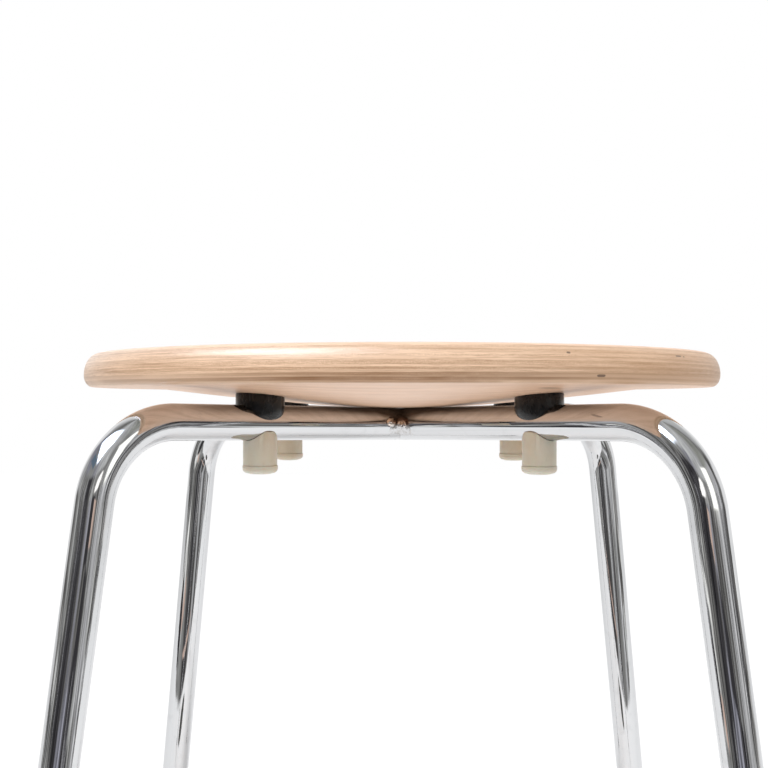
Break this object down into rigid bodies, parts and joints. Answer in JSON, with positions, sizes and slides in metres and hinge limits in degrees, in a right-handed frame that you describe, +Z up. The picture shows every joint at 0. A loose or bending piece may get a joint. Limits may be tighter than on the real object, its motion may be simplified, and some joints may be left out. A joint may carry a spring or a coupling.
{
  "type": "stacking stool",
  "caption": "Round dished plywood seat on a chromed tube frame with splayed legs, black seat spacers and cream stacking stops under the cross tubes.",
  "frame": {"origin": "on the floor under the middle of the seat", "axes": "+Z up; the front of the stool, which the picture shows, faces -Y; +X is to the right seen from the front"},
  "size_m": [0.3756, 0.3756, 0.4499],
  "materials": {
    "seat_plywood": "clear satin lacquer over birch-like plywood with a pinkish tan tone, layered edge",
    "frame_chrome": "bright chrome plate on steel tube",
    "weld_metal": "plated weld beads, uneven and partly ground",
    "spacer_black": "black moulded plastic, slightly glossy",
    "stop_nylon": "natural cream nylon, satin",
    "fastener_steel": "bright zinc plate",
    "insert_brass": "turned brass",
    "glide_black": "black moulded plastic, matte"
  },
  "bodies": {
    "root": {"seat": "seat_plywood", "hoop": "frame_chrome", "half_hoop_front_left": "frame_chrome", "half_hoop_back_right": "frame_chrome", "weld_front": "weld_metal", "weld_right": "weld_metal", "weld_back": "weld_metal", "weld_left": "weld_metal", "spacer_front_left": "spacer_black", "stack_sleeve_front_left": "stop_nylon", "stack_plug_front_left": "stop_nylon", "washer_front_left": "fastener_steel", "screw_front_left": "fastener_steel", "insert_front_left": "insert_brass", "glide_front_left": "glide_black", "spacer_front_right": "spacer_black", "stack_sleeve_front_right": "stop_nylon", "stack_plug_front_right": "stop_nylon", "washer_front_right": "fastener_steel", "screw_front_right": "fastener_steel", "insert_front_right": "insert_brass", "glide_front_right": "glide_black", "spacer_back_right": "spacer_black", "stack_sleeve_back_right": "stop_nylon", "stack_plug_back_right": "stop_nylon", "washer_back_right": "fastener_steel", "screw_back_right": "fastener_steel", "insert_back_right": "insert_brass", "glide_back_right": "glide_black", "spacer_back_left": "spacer_black", "stack_sleeve_back_left": "stop_nylon", "stack_plug_back_left": "stop_nylon", "washer_back_left": "fastener_steel", "screw_back_left": "fastener_steel", "insert_back_left": "insert_brass", "glide_back_left": "glide_black"}
  },
  "joints": []
}
